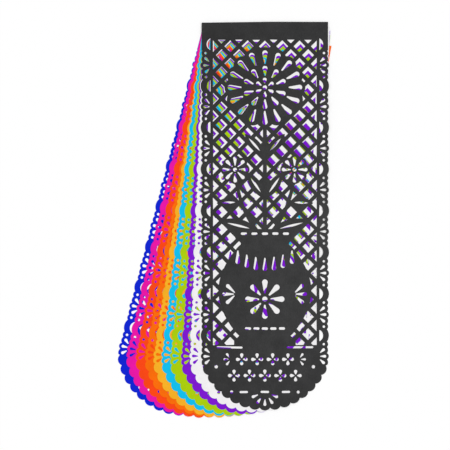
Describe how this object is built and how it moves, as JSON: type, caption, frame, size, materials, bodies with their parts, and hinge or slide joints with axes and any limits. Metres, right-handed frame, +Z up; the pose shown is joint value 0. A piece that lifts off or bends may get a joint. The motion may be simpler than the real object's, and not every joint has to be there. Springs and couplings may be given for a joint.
{
  "type": "papel picado banner",
  "caption": "Fanned pack of flat cut-paper banner sheets, each with a plain header, scalloped sides and a round lacy foot.",
  "frame": {"origin": "on the table under the headers, at the point that the sheets are fanned about: 10 mm in from the left end of the top sheet's header and half way down it", "axes": "+X across the top sheet to the right, +Y up the top sheet towards its header's edge, +Z up out of the table"},
  "size_m": [0.4163, 0.7724, 0.0037],
  "materials": {
    "black_paper": "matte thin craft paper, dyed black",
    "white_paper": "matte thin craft paper, white",
    "purple_paper": "matte thin craft paper, dyed purple",
    "lime_paper": "matte thin craft paper, dyed lime green",
    "cyan_paper": "matte thin craft paper, dyed sky blue",
    "amber_paper": "matte thin craft paper, dyed amber yellow",
    "orange_paper": "matte thin craft paper, dyed orange",
    "vermilion_paper": "matte thin craft paper, dyed orange red",
    "magenta_paper": "matte thin craft paper, dyed magenta",
    "blue_paper": "matte thin craft paper, dyed royal blue"
  },
  "bodies": {
    "root": {"sheet_black": "black_paper", "sheet_white": "white_paper", "sheet_purple": "purple_paper", "sheet_lime": "lime_paper", "sheet_cyan": "cyan_paper", "sheet_amber": "amber_paper", "sheet_orange": "orange_paper", "sheet_vermilion": "vermilion_paper", "sheet_magenta": "magenta_paper", "sheet_blue": "blue_paper"}
  },
  "joints": []
}
